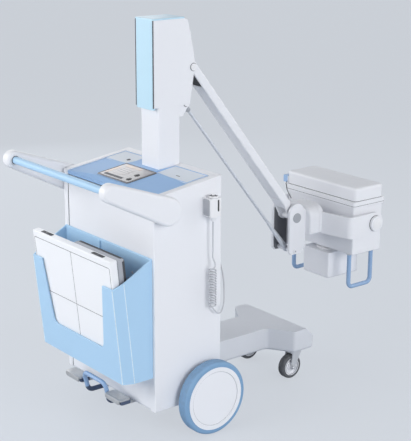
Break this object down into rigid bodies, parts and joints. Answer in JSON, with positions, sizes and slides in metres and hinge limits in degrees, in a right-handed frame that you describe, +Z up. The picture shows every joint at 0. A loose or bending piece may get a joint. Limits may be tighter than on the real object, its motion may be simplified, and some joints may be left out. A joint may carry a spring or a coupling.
{
  "type": "portable x-ray machine",
  "caption": "Mobile radiography unit: wheeled cabinet with cassette bin, fixed column, parallelogram arm and a tube head in a swivelling yoke.",
  "frame": {"origin": "floor level, centre of the overall footprint", "axes": "+X the machine's right, +Y forward towards the casters, +Z up"},
  "size_m": [0.638, 1.32, 1.342],
  "materials": {
    "body_white": "satin",
    "body_grey": "satin",
    "cover_blue": "satin",
    "bin_blue": "matte",
    "tray_blue": "satin",
    "panel_grey": "matte",
    "screen": "gloss",
    "steel": "brushed",
    "zinc": "zinc plated",
    "tyre_blue": "matte",
    "tyre_black": "matte",
    "hub_white": "satin",
    "inner_block": "cast",
    "cassette": "matte",
    "cassette_grey": "matte",
    "cord": "matte",
    "switch_white": "satin",
    "grip_blue": "satin"
  },
  "bodies": {
    "chassis": {"cabinet_side_left": "body_white", "cabinet_side_right": "body_white", "cabinet_rear_panel": "body_white", "cabinet_front_panel": "body_white", "cabinet_front_rim": "body_white", "column_post": "body_white", "column_head": "body_white", "handle_arm_left": "body_white", "handle_arm_right": "body_white", "cabinet_floor": "body_grey", "base_frame": "body_grey", "column_cover": "cover_blue", "cassette_bin": "bin_blue", "control_tray": "tray_blue", "control_panel_left": "panel_grey", "control_panel_right": "panel_grey", "control_display": "screen", "arm_pin": "steel", "rod_pin": "steel", "pedal_left": "steel", "pedal_right": "steel", "wheel_spindle_left": "steel", "wheel_spindle_right": "steel", "power_block": "inner_block", "cassette_white": "cassette", "cassette_grey": "cassette_grey", "cord_coil": "cord", "cord_lead": "cord", "cord_gland": "cord", "cord_tail": "cord", "hand_switch": "switch_white", "hand_switch_holder": "switch_white", "handle_bar": "grip_blue", "brake_bail": "grip_blue"},
    "wheel_left": {"wheel_tyre_left": "tyre_blue", "wheel_hub_left": "hub_white"},
    "wheel_right": {"wheel_tyre_right": "tyre_blue", "wheel_hub_right": "hub_white"},
    "caster_left": {"caster_fork_left": "zinc"},
    "caster_right": {"caster_fork_right": "zinc"},
    "caster_wheel_left": {"caster_tyre_left": "tyre_black", "caster_hub_left": "hub_white"},
    "caster_wheel_right": {"caster_tyre_right": "tyre_black", "caster_hub_right": "hub_white"},
    "arm": {"main_arm": "body_white"},
    "rod": {"arm_rod": "steel"},
    "fork": {"fork": "body_white", "fork_pin": "body_grey", "fork_rod_pin": "body_white", "swivel_housing": "body_white"},
    "yoke": {"yoke": "body_white", "tilt_knob_left": "body_white", "tilt_knob_right": "body_white"},
    "head": {"head_body": "body_white", "head_flange": "body_white", "head_lid": "body_white", "head_grip_left": "grip_blue", "head_grip_right": "grip_blue", "beam_port": "body_grey"},
    "collimator": {"collimator": "body_grey"}
  },
  "joints": [
    {"name": "wheel_left_spin", "type": "hinge", "parent": "chassis", "child": "wheel_left", "pos_m": [-0.297, -0.248, 0.125], "axis": [1, 0, 0], "continuous": true},
    {"name": "wheel_right_spin", "type": "hinge", "parent": "chassis", "child": "wheel_right", "pos_m": [0.297, -0.248, 0.125], "axis": [1, 0, 0], "continuous": true},
    {"name": "caster_left_swivel", "type": "hinge", "parent": "chassis", "child": "caster_left", "pos_m": [-0.118, 0.292, 0.11], "axis": [0, 0, 1], "continuous": true},
    {"name": "caster_right_swivel", "type": "hinge", "parent": "chassis", "child": "caster_right", "pos_m": [0.118, 0.292, 0.11], "axis": [0, 0, 1], "continuous": true},
    {"name": "caster_left_spin", "type": "hinge", "parent": "caster_left", "child": "caster_wheel_left", "pos_m": [-0.118, 0.262, 0.045], "axis": [1, 0, 0], "continuous": true},
    {"name": "caster_right_spin", "type": "hinge", "parent": "caster_right", "child": "caster_wheel_right", "pos_m": [0.118, 0.262, 0.045], "axis": [1, 0, 0], "continuous": true},
    {"name": "arm_lift", "type": "hinge", "parent": "chassis", "child": "arm", "pos_m": [0, -0.132, 1.176], "axis": [1, 0, 0], "range_deg": [-10, 80]},
    {"name": "rod_follow", "type": "hinge", "parent": "chassis", "child": "rod", "pos_m": [0, -0.138, 1.05], "axis": [1, 0, 0], "range_deg": [-10, 80]},
    {"name": "fork_level", "type": "hinge", "parent": "arm", "child": "fork", "pos_m": [0, 0.345, 0.58], "axis": [1, 0, 0], "range_deg": [-80, 10]},
    {"name": "yoke_swivel", "type": "hinge", "parent": "fork", "child": "yoke", "pos_m": [0, 0.446, 0.551], "axis": [0, 1, 0], "range_deg": [-90, 90]},
    {"name": "head_tilt", "type": "hinge", "parent": "yoke", "child": "head", "pos_m": [0, 0.596, 0.551], "axis": [1, 0, 0], "range_deg": [-20, 20]},
    {"name": "collimator_turn", "type": "hinge", "parent": "head", "child": "collimator", "pos_m": [0, 0.572, 0.436], "axis": [0, 0, 1], "range_deg": [-45, 45]}
  ],
  "couplings": [
    {"joint": "rod_follow", "follows": "arm_lift", "ratio": 1},
    {"joint": "fork_level", "follows": "arm_lift", "ratio": -1}
  ]
}
